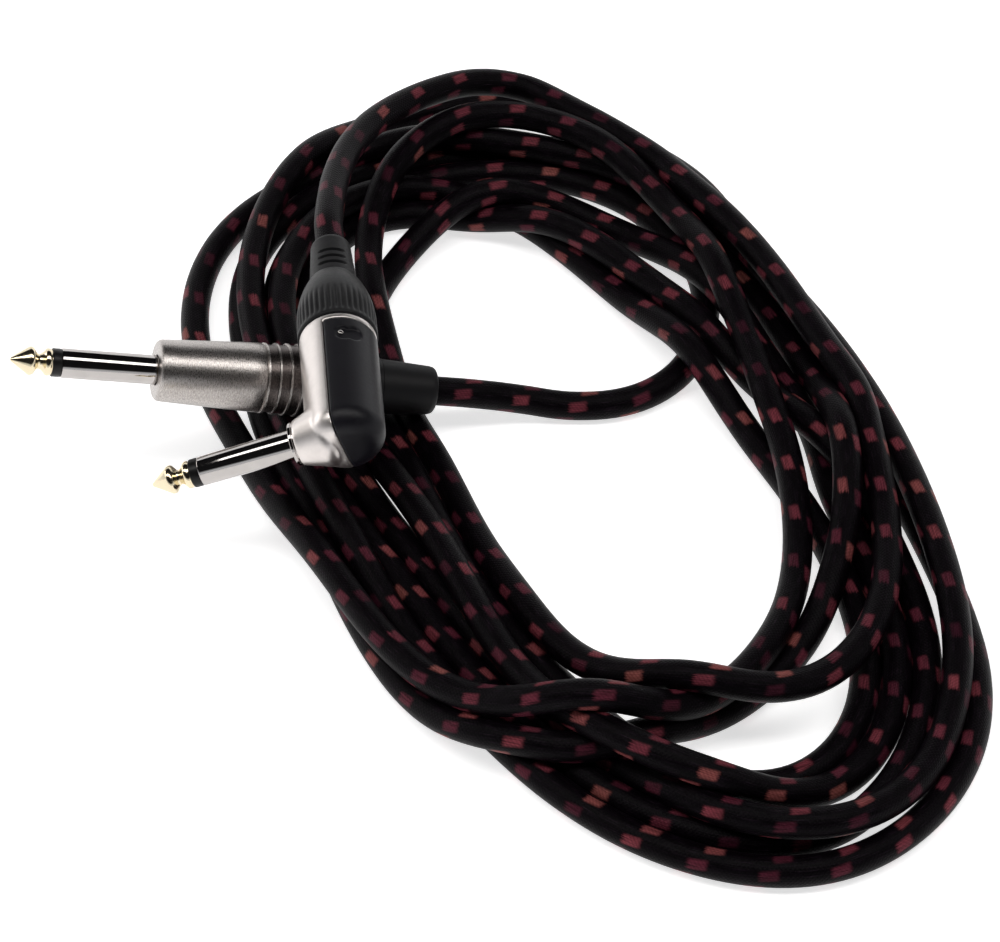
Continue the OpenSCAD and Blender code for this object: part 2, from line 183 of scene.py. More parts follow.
# Round bodies that the turns rest against: a point, a direction, how far it runs and its radius
OBSTACLES = [
    (STRAIGHT_SEAT, STRAIGHT_BACK, 2.0, 33.0, 7.95),
    (STRAIGHT_SEAT, STRAIGHT_BACK, 33.0, 49.5, 7.2),
    (STRAIGHT_SEAT, STRAIGHT_BACK, 49.5, 71.0, 6.2),
]


def even_out(route, rounds):
    """Take short waves out of a route, leaving its long curves and its two ends."""
    x = route.copy()
    for _ in range(rounds):
        x[2:-2] -= STIFFNESS * (x[:-4] - 4 * x[1:-3] + 6 * x[2:-2] - 4 * x[3:-1] + x[4:])
    return x


def settle(route, first, last):
    """Let points first to last sink until they lie on the surface and a diameter apart."""
    x = route.copy()
    n = len(x)
    free = np.zeros(n)
    free[first:last] = 1.0
    ramp = 12
    free[first:first + ramp] = np.linspace(0.1, 1, ramp)
    free[last - ramp:last] = np.linspace(1, 0.1, ramp)
    free = free[:, None]
    index = np.arange(n)
    for round_number in range(SETTLE_ROUNDS):
        if round_number % 10 == 0:
            gap = x[:, None] - x[None]
            close = (gap ** 2).sum(-1) < (1.9 * CORD_D) ** 2
            close &= np.abs(index[:, None] - index[None]) > 8
            one, two = np.nonzero(close)
        ahead = directions(x)
        apart = x[one] - x[two]
        along = (apart * ahead[two]).sum(-1)
        side = apart - along[:, None] * ahead[two]
        reach = np.linalg.norm(side, axis=1)
        short = np.where((np.abs(along) < 0.6 * STEP) & (reach < CORD_D), CORD_D - reach, 0)
        push = side / np.maximum(reach, 1e-6)[:, None] * short[:, None] * PUSH
        move = np.zeros_like(x)
        np.add.at(move, one, push)
        np.add.at(move, two, -push)
        move = np.clip(move, -FARTHEST_MOVE, FARTHEST_MOVE)
        for at, way, start, stop, radius in OBSTACLES:
            from_axis = x - at
            station = from_axis @ way
            out = from_axis - station[:, None] * way
            size = np.linalg.norm(out, axis=1)
            beside = (station > start) & (station < stop)
            deep = np.where(beside, radius + CORD_R + CLEAR_OF_PLUG - size, 0)
            lift = out / np.maximum(size, 1e-6)[:, None] * np.maximum(deep, 0)[:, None] * LIFT
            move += lift
        if round_number < SETTLE_ROUNDS - LAST_ROUNDS:
            move[:, 2] -= SINK
        x += free * move
        x[:, :2] += HOME * free * (route[:, :2] - x[:, :2])
        for _ in range(5):
            bend = np.zeros_like(x)
            bend[2:-2] = x[:-4] - 4 * x[1:-3] + 6 * x[2:-2] - 4 * x[3:-1] + x[4:]
            x -= STIFFNESS * free * bend
        x[:, 2] = np.maximum(x[:, 2], CORD_R)
    return x


def cable_route():
    start = [STRAIGHT_SEAT + s * STRAIGHT_BACK for s in STRAIGHT_STATIONS]
    finish = [ANGLE_CROSSING + s * ANGLE_BACK for s in ANGLE_STATIONS]
    rough = [tuple(p) for p in start] + STRAIGHT_LEAD + coil_points()
    rough += ANGLE_LEAD[::-1] + [tuple(p) for p in finish[::-1]]
    route = evenly(smooth_path(rough), STEP)
    first, last = int(HELD_AT_START / STEP), len(route) - int(HELD_AT_END / STEP)
    route[first:last] = even_out(route[first:last], EVEN_ROUNDS)
    route = settle(route, first, last)
    return evenly(route, STEP)


# ---------------------------------------------------------------- material helpers

def new_material(name, **sockets):
    """A material with its shader's sockets set, and the parts needed to add to it."""
    material = bpy.data.materials.new(name)
    material.use_nodes = True
    tree = material.node_tree
    shader = tree.nodes["Principled BSDF"]
    for socket, value in sockets.items():
        shader.inputs[socket.replace("_", " ")].default_value = value
    return material, tree, shader


def add_node(tree, kind, inputs=None, **settings):
    """A node with its settings, its inputs given as values or as other nodes' outputs."""
    node = tree.nodes.new(kind)
    for key, value in settings.items():
        setattr(node, key, value)
    for key, value in (inputs or {}).items():
        if isinstance(value, bpy.types.NodeSocket):
            tree.links.new(value, node.inputs[key])
        else:
            node.inputs[key].default_value = value
    return node


def maths(tree, operation, *values, clamp=False):
    node = add_node(tree, "ShaderNodeMath", dict(enumerate(values)), operation=operation,
                    use_clamp=clamp)
    return node.outputs[0]


def ramp(tree, factor, stops):
    """A colour that runs through stops, each a position and a colour."""
    node = add_node(tree, "ShaderNodeValToRGB", {0: factor})
    elements = node.color_ramp.elements
    while len(elements) < len(stops):
        elements.new(0.5)
    for element, (position, colour) in zip(elements, stops):
        element.position = position
        element.color = colour if len(colour) == 4 else (*colour, 1)
    return node.outputs[0]


def noise(tree, vector, scale, detail=2.0, roughness=0.5):
    inputs = {"Vector": vector, "Scale": scale, "Detail": detail, "Roughness": roughness}
    return add_node(tree, "ShaderNodeTexNoise", inputs).outputs["Fac"]


def scaled(tree, vector, size):
    node = add_node(tree, "ShaderNodeMapping", {"Vector": vector, "Scale": size})
    return node.outputs[0]


def mix_colour(tree, factor, one, two, blend="MIX"):
    node = tree.nodes.new("ShaderNodeMix")
    node.data_type = "RGBA"
    node.blend_type = blend
    for socket, value in ((node.inputs[0], factor), (node.inputs[6], one), (node.inputs[7], two)):
        if isinstance(value, bpy.types.NodeSocket):
            tree.links.new(value, socket)
        else:
            socket.default_value = value
    return node.outputs[2]


def bump(tree, shader, height, strength, distance):
    inputs = {"Height": height, "Strength": strength, "Distance": distance}
    node = add_node(tree, "ShaderNodeBump", inputs)
    tree.links.new(node.outputs[0], shader.inputs["Normal"])
    return node


# ---------------------------------------------------------------- the woven jacket

ROUND = math.pi * CORD_D        # the jacket's girth, mm
FLECK_COLUMNS = 5               # rows of flecks round the jacket
FLECK_PITCH = 13.5              # along the cable, mm
FLECK_LENGTH = 4.4
FLECK_WIDTH = 2.7
YARN_COLUMNS = 20               # braided yarns round the jacket, each way


def woven_jacket():
    """Black braid with a purple cast and short dull-red flecks where the coloured yarn surfaces.
    The piece's UV map is in millimetres: round the jacket, then along it."""
    material, tree, shader = new_material(
        "woven_jacket", Roughness=0.38, Specular_IOR_Level=0.05)
    place = add_node(tree, "ShaderNodeUVMap", uv_map="jacket_mm").outputs[0]
    split = add_node(tree, "ShaderNodeSeparateXYZ", {0: place})
    across, along = split.outputs[0], split.outputs[1]

    # Two sets of yarns that cross, each a fine ridge that leans one way
    lean = 1.15
    one = maths(tree, "ADD", across, maths(tree, "MULTIPLY", along, lean))
    two = maths(tree, "SUBTRACT", across, maths(tree, "MULTIPLY", along, lean))
    wave = 2 * math.pi * YARN_COLUMNS / ROUND
    ridge_one = maths(tree, "SINE", maths(tree, "MULTIPLY", one, wave))
    ridge_two = maths(tree, "SINE", maths(tree, "MULTIPLY", two, wave))
    weave = maths(tree, "MAXIMUM", ridge_one, ridge_two)
    filaments = noise(tree, scaled(tree, place, (5.0, 0.22, 1)), 1.0, 3.0, 0.6)

    # Flecks lie in columns round the jacket, each column a little further along
    column = maths(tree, "MULTIPLY", across, FLECK_COLUMNS / ROUND)
    which = maths(tree, "FLOOR", column)
    from_middle = maths(tree, "MULTIPLY", maths(tree, "SUBTRACT", maths(tree, "FRACT", column), 0.5),
                        ROUND / FLECK_COLUMNS)
    turn = maths(tree, "ADD", maths(tree, "DIVIDE", along, FLECK_PITCH),
                 maths(tree, "DIVIDE", which, FLECK_COLUMNS))
    ahead = maths(tree, "MULTIPLY", maths(tree, "SUBTRACT", maths(tree, "FRACT", turn), 0.5),
                  FLECK_PITCH)
    slant = maths(tree, "ADD", from_middle, maths(tree, "MULTIPLY", ahead, 0.13))
    wobble = maths(tree, "MULTIPLY", maths(tree, "SUBTRACT", filaments, 0.5), 2.2)
    edge_across = maths(tree, "SUBTRACT", FLECK_WIDTH / 2, maths(tree, "ABSOLUTE", slant))
    end_along = maths(tree, "SUBTRACT", FLECK_LENGTH / 2,
                      maths(tree, "ABSOLUTE", maths(tree, "ADD", ahead, wobble)))
    inside = maths(tree, "MULTIPLY",
                   maths(tree, "MULTIPLY", edge_across, 1.8, clamp=True),
                   maths(tree, "MULTIPLY", end_along, 1.2, clamp=True))

    # Every fleck has its own strength
    cell = add_node(tree, "ShaderNodeCombineXYZ", {0: which, 1: maths(tree, "FLOOR", turn)})
    chance = add_node(tree, "ShaderNodeTexWhiteNoise", {0: cell.outputs[0]},
                      noise_dimensions="3D").outputs[0]
    red = ramp(tree, chance, [(0.0, (0.035, 0.006, 0.014)), (0.35, (0.12, 0.022, 0.038)),
                              (0.8, (0.23, 0.045, 0.060)), (1.0, (0.33, 0.10, 0.085))])
    stitches = maths(tree, "SINE", maths(tree, "MULTIPLY", two, wave))
    red = mix_colour(tree, maths(tree, "MULTIPLY_ADD", stitches, 0.14, 0.20, clamp=True), red,
                     (0.03, 0.006, 0.010, 1))
    # Lengthwise streaks in the yarn's own tone; their brightest lines are painted sheen, standing in for
    # highlights on the glossy filaments
    yarn_streaks_and_sheen = ramp(tree, filaments, [(0.35, (0.0006, 0.0003, 0.0006)), (0.55, (0.002, 0.001, 0.002)),
                                     (0.68, (0.009, 0.005, 0.009)), (0.8, (0.05, 0.03, 0.045))])
    worn = maths(tree, "MULTIPLY_ADD", filaments, 2.6, -0.55, clamp=True)
    colour = mix_colour(tree, maths(tree, "MULTIPLY", inside, worn), yarn_streaks_and_sheen, red)
    tree.links.new(colour, shader.inputs["Base Color"])
    height = maths(tree, "MULTIPLY_ADD", weave, 0.25, filaments)
    bump(tree, shader, height, 0.5, 0.00018)
    return material


# ---------------------------------------------------------------- the cable as one piece

CORD_SIDES = 24
RING_STEP = 2.0


def tube_mesh(name, route, radius, sides):
    """A closed tube along a route in millimetres, with a UV map in millimetres."""
    ahead = directions(route)
    side = np.zeros_like(route)
    side[0] = np.cross(ahead[0], (0, 0, 1))
    side[0] /= np.linalg.norm(side[0])
    for i in range(1, len(route)):
        carried = side[i - 1] - ahead[i] * (side[i - 1] @ ahead[i])
        side[i] = carried / np.linalg.norm(carried)
    up = np.cross(ahead, side)
    turn = 2 * math.pi * np.arange(sides) / sides
    rings = (route[:, None] + radius * (np.cos(turn)[None, :, None] * side[:, None]
                                        + np.sin(turn)[None, :, None] * up[:, None]))
    along = np.concatenate([[0], np.cumsum(np.linalg.norm(np.diff(route, axis=0), axis=1))])
    n = len(route)
    faces = [(i * sides + k, i * sides + (k + 1) % sides,
              (i + 1) * sides + (k + 1) % sides, (i + 1) * sides + k)
             for i in range(n - 1) for k in range(sides)]
    faces.append(tuple(range(sides))[::-1])
    faces.append(tuple((n - 1) * sides + k for k in range(sides)))
    mesh = bpy.data.meshes.new(name)
    mesh.from_pydata((rings.reshape(-1, 3) * MM).tolist(), [], faces)
    uv = mesh.uv_layers.new(name="jacket_mm")
    girth = 2 * math.pi * radius
    for number, polygon in enumerate(mesh.polygons):
        ring, k = divmod(number, sides)
        corners = ((k, ring), (k + 1, ring), (k + 1, ring + 1), (k, ring + 1))
        if ring >= n - 1:
            corners = ((0, 0),) * sides
        for loop, (u, v) in zip(polygon.loop_indices, corners):
            uv.data[loop].uv = (u * girth / sides, along[min(v, n - 1)])
    mesh.shade_smooth()
    return mesh


def link(name, mesh, material):
    piece = bpy.data.objects.new(name, mesh)
    bpy.context.scene.collection.objects.link(piece)
    mesh.materials.append(material)
    return piece


ROUTE = cable_route()
rings = evenly(smooth_path(ROUTE, 4), RING_STEP)
cable = link("cable", tube_mesh("cable", rings, CORD_R, CORD_SIDES), woven_jacket())
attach(cable, "root")
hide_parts("cable_lead_straight", "cable_lead_angle", "cable_coil")


# ---------------------------------------------------------------- floor and light

FLOOR_GLOW = 0.68           # the pale table is lit from below as well, so shadows stay faint


def floor_material():
    material, tree, shader = new_material("floor", Roughness=0.6, Specular_IOR_Level=0.2,
                                          Emission_Strength=FLOOR_GLOW,
                                          Emission_Color=(1, 1, 1, 1))
    place = add_node(tree, "ShaderNodeTexCoord").outputs["Object"]
    tone = ramp(tree, noise(tree, place, 3.0), [(0.3, (0.93, 0.93, 0.94)), (0.7, (0.96, 0.96, 0.965))])
    tree.links.new(tone, shader.inputs["Base Color"])
    return material


def sweep_floor(half=3.0, rise=2.2, bend=0.8):
    """A pale floor that curves up behind the object."""
    rows = [(-half, 0.0), (half, 0.0)]
    rows += [(half + bend * math.sin(a), bend * (1 - math.cos(a)))
             for a in np.linspace(0, math.pi / 2, 12)[1:]]
    rows.append((half + bend, rise))
    verts = [(x, y, z) for y, z in rows for x in (-2 * half, 2 * half)]
    faces = [(2 * i, 2 * i + 1, 2 * i + 3, 2 * i + 2) for i in range(len(rows) - 1)]
    mesh = bpy.data.meshes.new("floor")
    mesh.from_pydata(verts, [], faces)
    mesh.shade_smooth()
    return link("floor", mesh, floor_material())


def area_light(name, place, aim, size, power, colour):
    light = bpy.data.lights.new(name, "AREA")
    light.shape = "RECTANGLE"
    light.size, light.size_y = size
    light.energy = power
    light.color = colour
    lamp = bpy.data.objects.new(name, light)
    lamp.location = place
    lamp.rotation_euler = (Vector(aim) - Vector(place)).to_track_quat("-Z", "Y").to_euler()
    bpy.context.scene.collection.objects.link(lamp)


sweep_floor()
area_light("overhead", (-0.05, -0.13, 1.1), (-0.05, -0.1, 0), (2.4, 0.36), 11.5, (1.0, 0.985, 0.97))
area_light("left_window", (-1.2, 0.35, 0.35), (0, 0, 0.02), (0.8, 0.35), 2.5, (1.0, 0.98, 0.96))


def studio_world():
    """Pale near the horizon, dark above it, so that polished metal shows dark bands."""
    world = bpy.data.worlds.new("studio")
    world.use_nodes = True
    tree = world.node_tree
    way = add_node(tree, "ShaderNodeTexCoord").outputs["Generated"]
    rise = add_node(tree, "ShaderNodeSeparateXYZ", {0: way}).outputs[2]
    tone = ramp(tree, rise, [(0.0, (0.85, 0.87, 0.9)), (0.16, (0.8, 0.82, 0.85)),
                             (0.30, (0.012, 0.012, 0.013)), (1.0, (0.008, 0.008, 0.009))])
    background = tree.nodes["Background"]
    tree.links.new(tone, background.inputs[0])
    background.inputs[1].default_value = 1.0
    bpy.context.scene.world = world


studio_world()
bpy.context.scene.view_settings.view_transform = "Standard"


# ---------------------------------------------------------------- metals and plastics

def satin_nickel(name, tint, rough, turned):
    """Plated metal with fine marks that run round it when it is turned, or along it."""
    material, tree, shader = new_material(name, Metallic=1.0, Roughness=rough)
    place = add_node(tree, "ShaderNodeUVMap", uv_map="lathe_mm").outputs[0] if turned else \
        add_node(tree, "ShaderNodeTexCoord").outputs["Object"]
    size = (1.0, 5.0, 1) if turned else (300, 300, 300)
    marks = noise(tree, scaled(tree, place, size), 1.0, 3.0, 0.65)
    grain = noise(tree, scaled(tree, place, (2.2, 7.0, 1) if turned else (6000, 6000, 6000)), 1.0, 2.0)
    low, high = (0.6, 1.35) if turned else (0.93, 1.04)
    tone = ramp(tree, marks, [(0.3, tuple(low * c for c in tint)), (0.52, tint),
                              (0.75, tuple(min(1.0, high * c) for c in tint))])
    tree.links.new(tone, shader.inputs["Base Color"])
    spread = 0.3 if turned else 0.1
    varied = maths(tree, "MULTIPLY_ADD", grain, spread, rough - spread / 2, clamp=True)
    tree.links.new(varied, shader.inputs["Roughness"])
    height = maths(tree, "MULTIPLY_ADD", grain, 0.6, marks)
    bump(tree, shader, height, 0.45 if turned else 0.15, 0.0001 if turned else 0.00001)
    return material


def plain_metal(name, tint, rough):
    material, tree, shader = new_material(name, Metallic=1.0, Roughness=rough)
    place = add_node(tree, "ShaderNodeTexCoord").outputs["Object"]
    smudge = noise(tree, place, 220.0, 3.0)
    tone = ramp(tree, smudge, [(0.3, tuple(0.9 * c for c in tint)), (0.7, tint)])
    tree.links.new(tone, shader.inputs["Base Color"])
    tree.links.new(maths(tree, "MULTIPLY_ADD", smudge, 0.12, rough - 0.05, clamp=True),
                   shader.inputs["Roughness"])
    return material


def moulded(name, tint, rough):
    """Moulded plastic or rubber with a fine grain."""
    material, tree, shader = new_material(name, Roughness=rough, Specular_IOR_Level=0.22)
    place = add_node(tree, "ShaderNodeTexCoord").outputs["Object"]
    cloud = noise(tree, place, 160.0, 3.0)
    grain = noise(tree, place, 1400.0, 2.0)
    tone = ramp(tree, cloud, [(0.3, tuple(0.8 * c for c in tint)), (0.7, tuple(1.15 * c for c in tint))])
    tree.links.new(tone, shader.inputs["Base Color"])
    tree.links.new(maths(tree, "MULTIPLY_ADD", grain, 0.2, rough - 0.1, clamp=True),
                   shader.inputs["Roughness"])
    bump(tree, shader, grain, 0.4, 0.00003)
    return material


FINISHES = {
    "tip_gold": plain_metal("tip_gold", (0.80, 0.70, 0.50), 0.14),
    "ring_black": moulded("ring_black", (0.006, 0.006, 0.006), 0.35),
    "sleeve_chrome": plain_metal("sleeve_chrome", (0.47, 0.445, 0.43), 0.06),
    "barrel_nickel": satin_nickel("barrel_nickel", (0.43, 0.40, 0.38), 0.30, True),
    # Painted shade: darker nickel for between the barrel's ridges, standing in for the coil's dark
    # reflection and the right-angle plug's shade
    "groove_painted_shade": satin_nickel("groove_painted_shade", (0.10, 0.085, 0.08), 0.30, True),
    "housing_nickel": satin_nickel("housing_nickel", (0.68, 0.635, 0.61), 0.36, False),
    "cover_black": moulded("cover_black", (0.004, 0.0035, 0.006), 0.42),
    "collar_black": moulded("collar_black", (0.006, 0.0058, 0.0066), 0.45),
    "tail_rubber": moulded("tail_rubber", (0.005, 0.0048, 0.0056), 0.5),
    "chuck_grey": moulded("chuck_grey", (0.2, 0.2, 0.21), 0.5),
    "lug_brass": plain_metal("lug_brass", (0.75, 0.55, 0.25), 0.3),
    "washer_fibre": moulded("washer_fibre", (0.25, 0.10, 0.05), 0.7),
    "insulation_white": moulded("insulation_white", (0.7, 0.69, 0.66), 0.5),
    "copper": plain_metal("copper", (0.72, 0.38, 0.24), 0.35),
    "jacket_weave": moulded("jacket_end_weave", (0.02, 0.014, 0.02), 0.6),
}


# ---------------------------------------------------------------- turned and moulded pieces

LATHE_SIDES = 96


def axis_frame(at, way, out=None):
    """A matrix whose z runs along way and whose x runs along out, with its origin at, in metres."""
    z = Vector(way).normalized()
    x = Vector(out) if out is not None else z.orthogonal()
    x = (x - z * x.dot(z)).normalized()
    y = z.cross(x)
    turn = Matrix((x, y, z)).transposed().to_4x4()
    return Matrix.Translation(Vector(at) * MM) @ turn


STRAIGHT_PLACE = axis_frame(STRAIGHT_SEAT, STRAIGHT_BACK)
ANGLE_PLACE = axis_frame(ANGLE_CROSSING, ANGLE_BACK, ANGLE_OUT)
ANGLE_FINGER_PLACE = axis_frame(ANGLE_SEAT, -ANGLE_OUT)
ALONG_X = Matrix.Rotation(math.pi / 2, 4, "Y")


def arc(station, radius, r, start, stop, steps=8):
    """Points of a profile on a circle about (station, radius); 0 degrees points out from the axis."""
    return [(station + r * math.sin(math.radians(a)), radius + r * math.cos(math.radians(a)))
            for a in np.linspace(start, stop, steps + 1)]


def lathe_mesh(name, profile, surface=None, sides=LATHE_SIDES):
    """A closed profile of (station, radius) in mm turned about z; surface(station, radius, angle)
    may change the radius, for flutes and slots."""
    profile = np.array(profile, float)
    n = len(profile)
    run = np.concatenate([[0], np.cumsum(np.linalg.norm(np.diff(profile, axis=0), axis=1))])
    angle = 2 * math.pi * np.arange(sides) / sides
    radius = np.repeat(profile[:, 1:], sides, axis=1)
    if surface:
        radius = surface(profile[:, :1], radius, angle[None, :])
    points = np.stack([radius * np.cos(angle), radius * np.sin(angle),
                       np.repeat(profile[:, :1], sides, axis=1)], axis=-1)
    faces = [(i * sides + k, i * sides + (k + 1) % sides,
              (i + 1) % n * sides + (k + 1) % sides, (i + 1) % n * sides + k)
             for i in range(n) for k in range(sides)]
    mesh = bpy.data.meshes.new(name)
    mesh.from_pydata((points.reshape(-1, 3) * MM).tolist(), [], faces)
    uv = mesh.uv_layers.new(name="lathe_mm")
    middle_radius = float(profile[:, 1].max())
    for number, polygon in enumerate(mesh.polygons):
        i, k = divmod(number, sides)
        after = run[i + 1] if i + 1 < n else run[i] + 1
        corners = ((k, run[i]), (k + 1, run[i]), (k + 1, after), (k, after))
        for loop, (turn, station) in zip(polygon.loop_indices, corners):
            uv.data[loop].uv = (turn * 2 * math.pi / sides * middle_radius, station)
    work = bmesh.new()
    work.from_mesh(mesh)
    bmesh.ops.remove_doubles(work, verts=work.verts, dist=1e-7)
    bmesh.ops.recalc_face_normals(work, faces=work.faces)
    work.to_mesh(mesh)
    work.free()
    return mesh


def turned_piece(name, profile, place, body, slot, nodes, surface=None, sides=LATHE_SIDES, crease=35):
    """A lathe piece that stands for CAD nodes and rides on a body."""
    mesh = lathe_mesh(name, profile, surface, sides)
    mesh.transform(place)
    mesh.shade_smooth()
    mesh.set_sharp_from_angle(angle=math.radians(crease))
    return declare(link(name, mesh, FINISHES[slot]), body, nodes)


def declare(piece, body, nodes):
    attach(piece, body)
    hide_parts(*nodes)
    return piece


FINGER_LENGTH = 31.4
SLEEVE_LENGTH = 20.6
RING_WIDTH = 2.0
FINGER_R = 6.35 / 2


def finger_pieces(plug, place):
    """Tip, insulator ring and ground sleeve; stations run back from the seat, so they are
    negative along the finger."""
    base = -(SLEEVE_LENGTH + RING_WIDTH)
    end = -FINGER_LENGTH
    tip = [(base - 0.05, 0.0), (base - 0.05, 2.75)]
    tip += arc(base - 0.75, 2.05, 0.92, 40, -62)
    tip += [(base - 2.15, 1.8), (base - 2.6, 1.62), (base - 3.0, 1.72)]
    tip += arc(end + 4.3, 2.1, 1.0, 50, -32)
    tip += arc(end + 0.6, 0.0, 0.6, -32, -90)
    ring = [(base + 0.03, 1.2), (base + 0.03, 2.9), (base + 0.2, 3.05), (-SLEEVE_LENGTH - 0.25, 3.05),
            (-SLEEVE_LENGTH - 0.03, 2.95), (-SLEEVE_LENGTH - 0.03, 1.2)]
    sleeve = [(-SLEEVE_LENGTH, 2.0), (-SLEEVE_LENGTH, FINGER_R - 0.22),
              (-SLEEVE_LENGTH + 0.08, FINGER_R - 0.08), (-SLEEVE_LENGTH + 0.25, FINGER_R),
              (-0.3, FINGER_R), (-0.1, FINGER_R - 0.18), (1.2, FINGER_R - 0.18), (1.2, 2.0)]
    return [turned_piece(plug + "tip_turned", tip, place, "root", "tip_gold", [plug + "tip"]),
            turned_piece(plug + "ring_turned", ring, place, "root", "ring_black",
                         [plug + "insulator_ring"]),
            turned_piece(plug + "sleeve_turned", sleeve, place, "root", "sleeve_chrome",
                         [plug + "sleeve"])]


BARREL_LENGTH = 32.6
RIDGE_AT = 23.2
RIDGE_PITCH = 2.48


def barrel_piece():
    profile = [(1.2, 3.3), (0.12, 3.3), (0.0, 3.42), (0.0, 6.02), (0.1, 6.2), (0.55, 6.56), (0.9, 6.66)]
    profile += [(station, 6.66 + 0.9 * (station - 0.9) / 21.4) for station in (4, 8, 12, 16, 20)]
    for ridge in range(4):
        at = RIDGE_AT + ridge * RIDGE_PITCH
        rise = 7.62 + 0.09 * ridge
        profile += [(at - 0.62, rise - 0.1 - 0.32 * (ridge > 0)), (at - 0.22, rise - 0.32),
                    (at - 0.12, rise), (at + 0.28, rise + 0.02), (at + 0.4, rise - 0.34)]
    profile += [(BARREL_LENGTH - 0.3, 7.6), (BARREL_LENGTH, 7.35), (BARREL_LENGTH, 6.45),
                (BARREL_LENGTH - 6, 6.45), (BARREL_LENGTH - 6, 5.6), (1.2, 5.6)]
    piece = turned_piece("straight_barrel_turned", profile, STRAIGHT_PLACE, "root", "barrel_nickel",
                         ["straight_barrel"])
    piece.data.materials.append(FINISHES["groove_painted_shade"])
    axis, seat = Vector(STRAIGHT_BACK), Vector(STRAIGHT_SEAT)
    crest_r = 7.58              # what lies lower between the ridges gets painted shade, for the dark coil's reflection and the right-angle plug's shade
    for polygon in piece.data.polygons:
        out = polygon.center / MM - seat
        station = out.dot(axis)
        low = (out - axis * station).length < crest_r
        if RIDGE_AT + 0.1 < station < BARREL_LENGTH - 0.4 and low:
            polygon.material_index = 1
    return piece


def fluted(count, depth, start, stop, top):
    """A surface change that cuts fine lengthwise flutes which fade out at both ends."""

    def surface(station, radius, angle):
        wave = 0.5 + 0.5 * np.cos(count * angle)
        fade = np.clip((station - start) / 1.0, 0, 1) * np.clip((stop - station) / 3.5, 0, 1)
        outer = radius > top
        return radius - depth * wave ** 1.6 * fade * outer
    return surface


def collar_piece(plug, place, base, length, r, end_r, count, depth):
    """The screwed collar: a fluted grip that closes in towards the tail."""
    top = base + length
    straight = 4.5
    drop = r - end_r
    big = (drop ** 2 + (length - straight) ** 2) / (2 * drop)
    sweep = math.degrees(math.asin((length - straight) / big))
    profile = [(base, 5.3), (base, r - 0.45), (base + 0.12, r - 0.15), (base + 0.4, r)]
    profile += [(station, r) for station in np.linspace(base + 0.8, base + straight, 8)]
    profile += arc(base + straight, r - big, big, 1, sweep, 24)
    profile += [(top + 0.02, end_r - 0.3), (top, 4.35), (top - 4, 4.35), (top - 4, 5.3)]
    surface = fluted(count, depth, base + 0.9, base + 9.5, 6.0)
    return turned_piece(plug + "collar_moulded", profile, place, plug + "boot", "collar_black",
                        [plug + "collar"], surface, sides=count * 10, crease=50)


SLOT_TURN = math.radians(17.5)  # the tail's slots face straight up and down


def tail_piece(plug, place, base, length, base_r, end_r, slots):
    """The soft tail: it tapers to the jacket, with short slots on two sides."""
    top = base + length

    def surface(station, radius, angle):
        side = np.clip((np.abs(np.sin(angle - SLOT_TURN)) - 0.80) / 0.06, 0, 1)
        cut = 0
        for at in slots:
            cut = cut + np.clip(1.6 - np.abs(station - base - at) / 0.28, 0, 1)
        return radius - 0.62 * side * np.clip(cut, 0, 1) * (radius > end_r - 0.6)
    body = [(station, base_r + (end_r - base_r) * (station - base) / length)
            for station in np.arange(base + 0.15, top - 1.2, 0.14)]
    profile = [(base - 5.2, CORD_R + 0.12), (base - 5.2, 4.2), (base, 4.2), (base, base_r - 0.15)]
    profile += body + arc(top - 1.1, end_r - 1.0, 1.0, 5, 85) + [(top - 0.1, CORD_R + 0.10)]
    return turned_piece(plug + "tail_moulded", profile, place, plug + "boot", "tail_rubber",
                        [plug + "tail"], surface, sides=128, crease=50)


HOUSING_R = 8.3
HOUSING_FRONT = 5.6
HOUSING_REAR = 27.0
HOUSING_ROUND = 4.5


def form_mesh(wall, rear, name="form"):
    """The right-angle plug's barrel, shrunk by a wall, as a solid about z."""
    r, round_r = HOUSING_R - wall, HOUSING_ROUND - wall
    profile = arc(round_r + wall - HOUSING_FRONT, r - round_r, round_r, -90, 0, 16)
    return lathe_mesh(name, [(wall - HOUSING_FRONT, 0)] + profile + [(rear, r), (rear, 0)])


def box_mesh(name, low, high):
    mesh = bpy.data.meshes.new(name)
    work = bmesh.new()
    bmesh.ops.create_cube(work, size=1)
    for vert in work.verts:
        for k in range(3):
            vert.co[k] = (low[k] if vert.co[k] < 0 else high[k]) * MM
    work.to_mesh(mesh)
    work.free()
    return mesh


def along_x(mesh):
    """Turn a solid about z so that it lies about x."""
    mesh.transform(ALONG_X)
    return mesh


def rod_mesh(r, start, stop):
    return lathe_mesh("rod", [(start, 0), (start, r), (stop, r), (stop, 0)])


def carved(name, base, steps, smoothing=5):
    """A solid made by adding and cutting away others, with its edges softened."""
    scratch = [bpy.data.objects.new(name, base)]
    for operation, mesh in steps:
        tool = bpy.data.objects.new("tool", mesh)
        modifier = scratch[0].modifiers.new("step", "BOOLEAN")
        modifier.operation, modifier.solver, modifier.object = operation, "EXACT", tool
        scratch.append(tool)
    remesh = scratch[0].modifiers.new("remesh", "REMESH")
    remesh.mode, remesh.voxel_size = "VOXEL", 0.0002
    soften = scratch[0].modifiers.new("soften", "SMOOTH")
    soften.factor, soften.iterations = 0.5, smoothing
    lighten = scratch[0].modifiers.new("lighten", "DECIMATE")
    lighten.ratio = 0.45
    for item in scratch:
        bpy.context.scene.collection.objects.link(item)
    graph = bpy.context.evaluated_depsgraph_get()
    mesh = bpy.data.meshes.new_from_object(scratch[0].evaluated_get(graph))
    for item in scratch:
        bpy.data.objects.remove(item)
    mesh.shade_smooth()
    return mesh


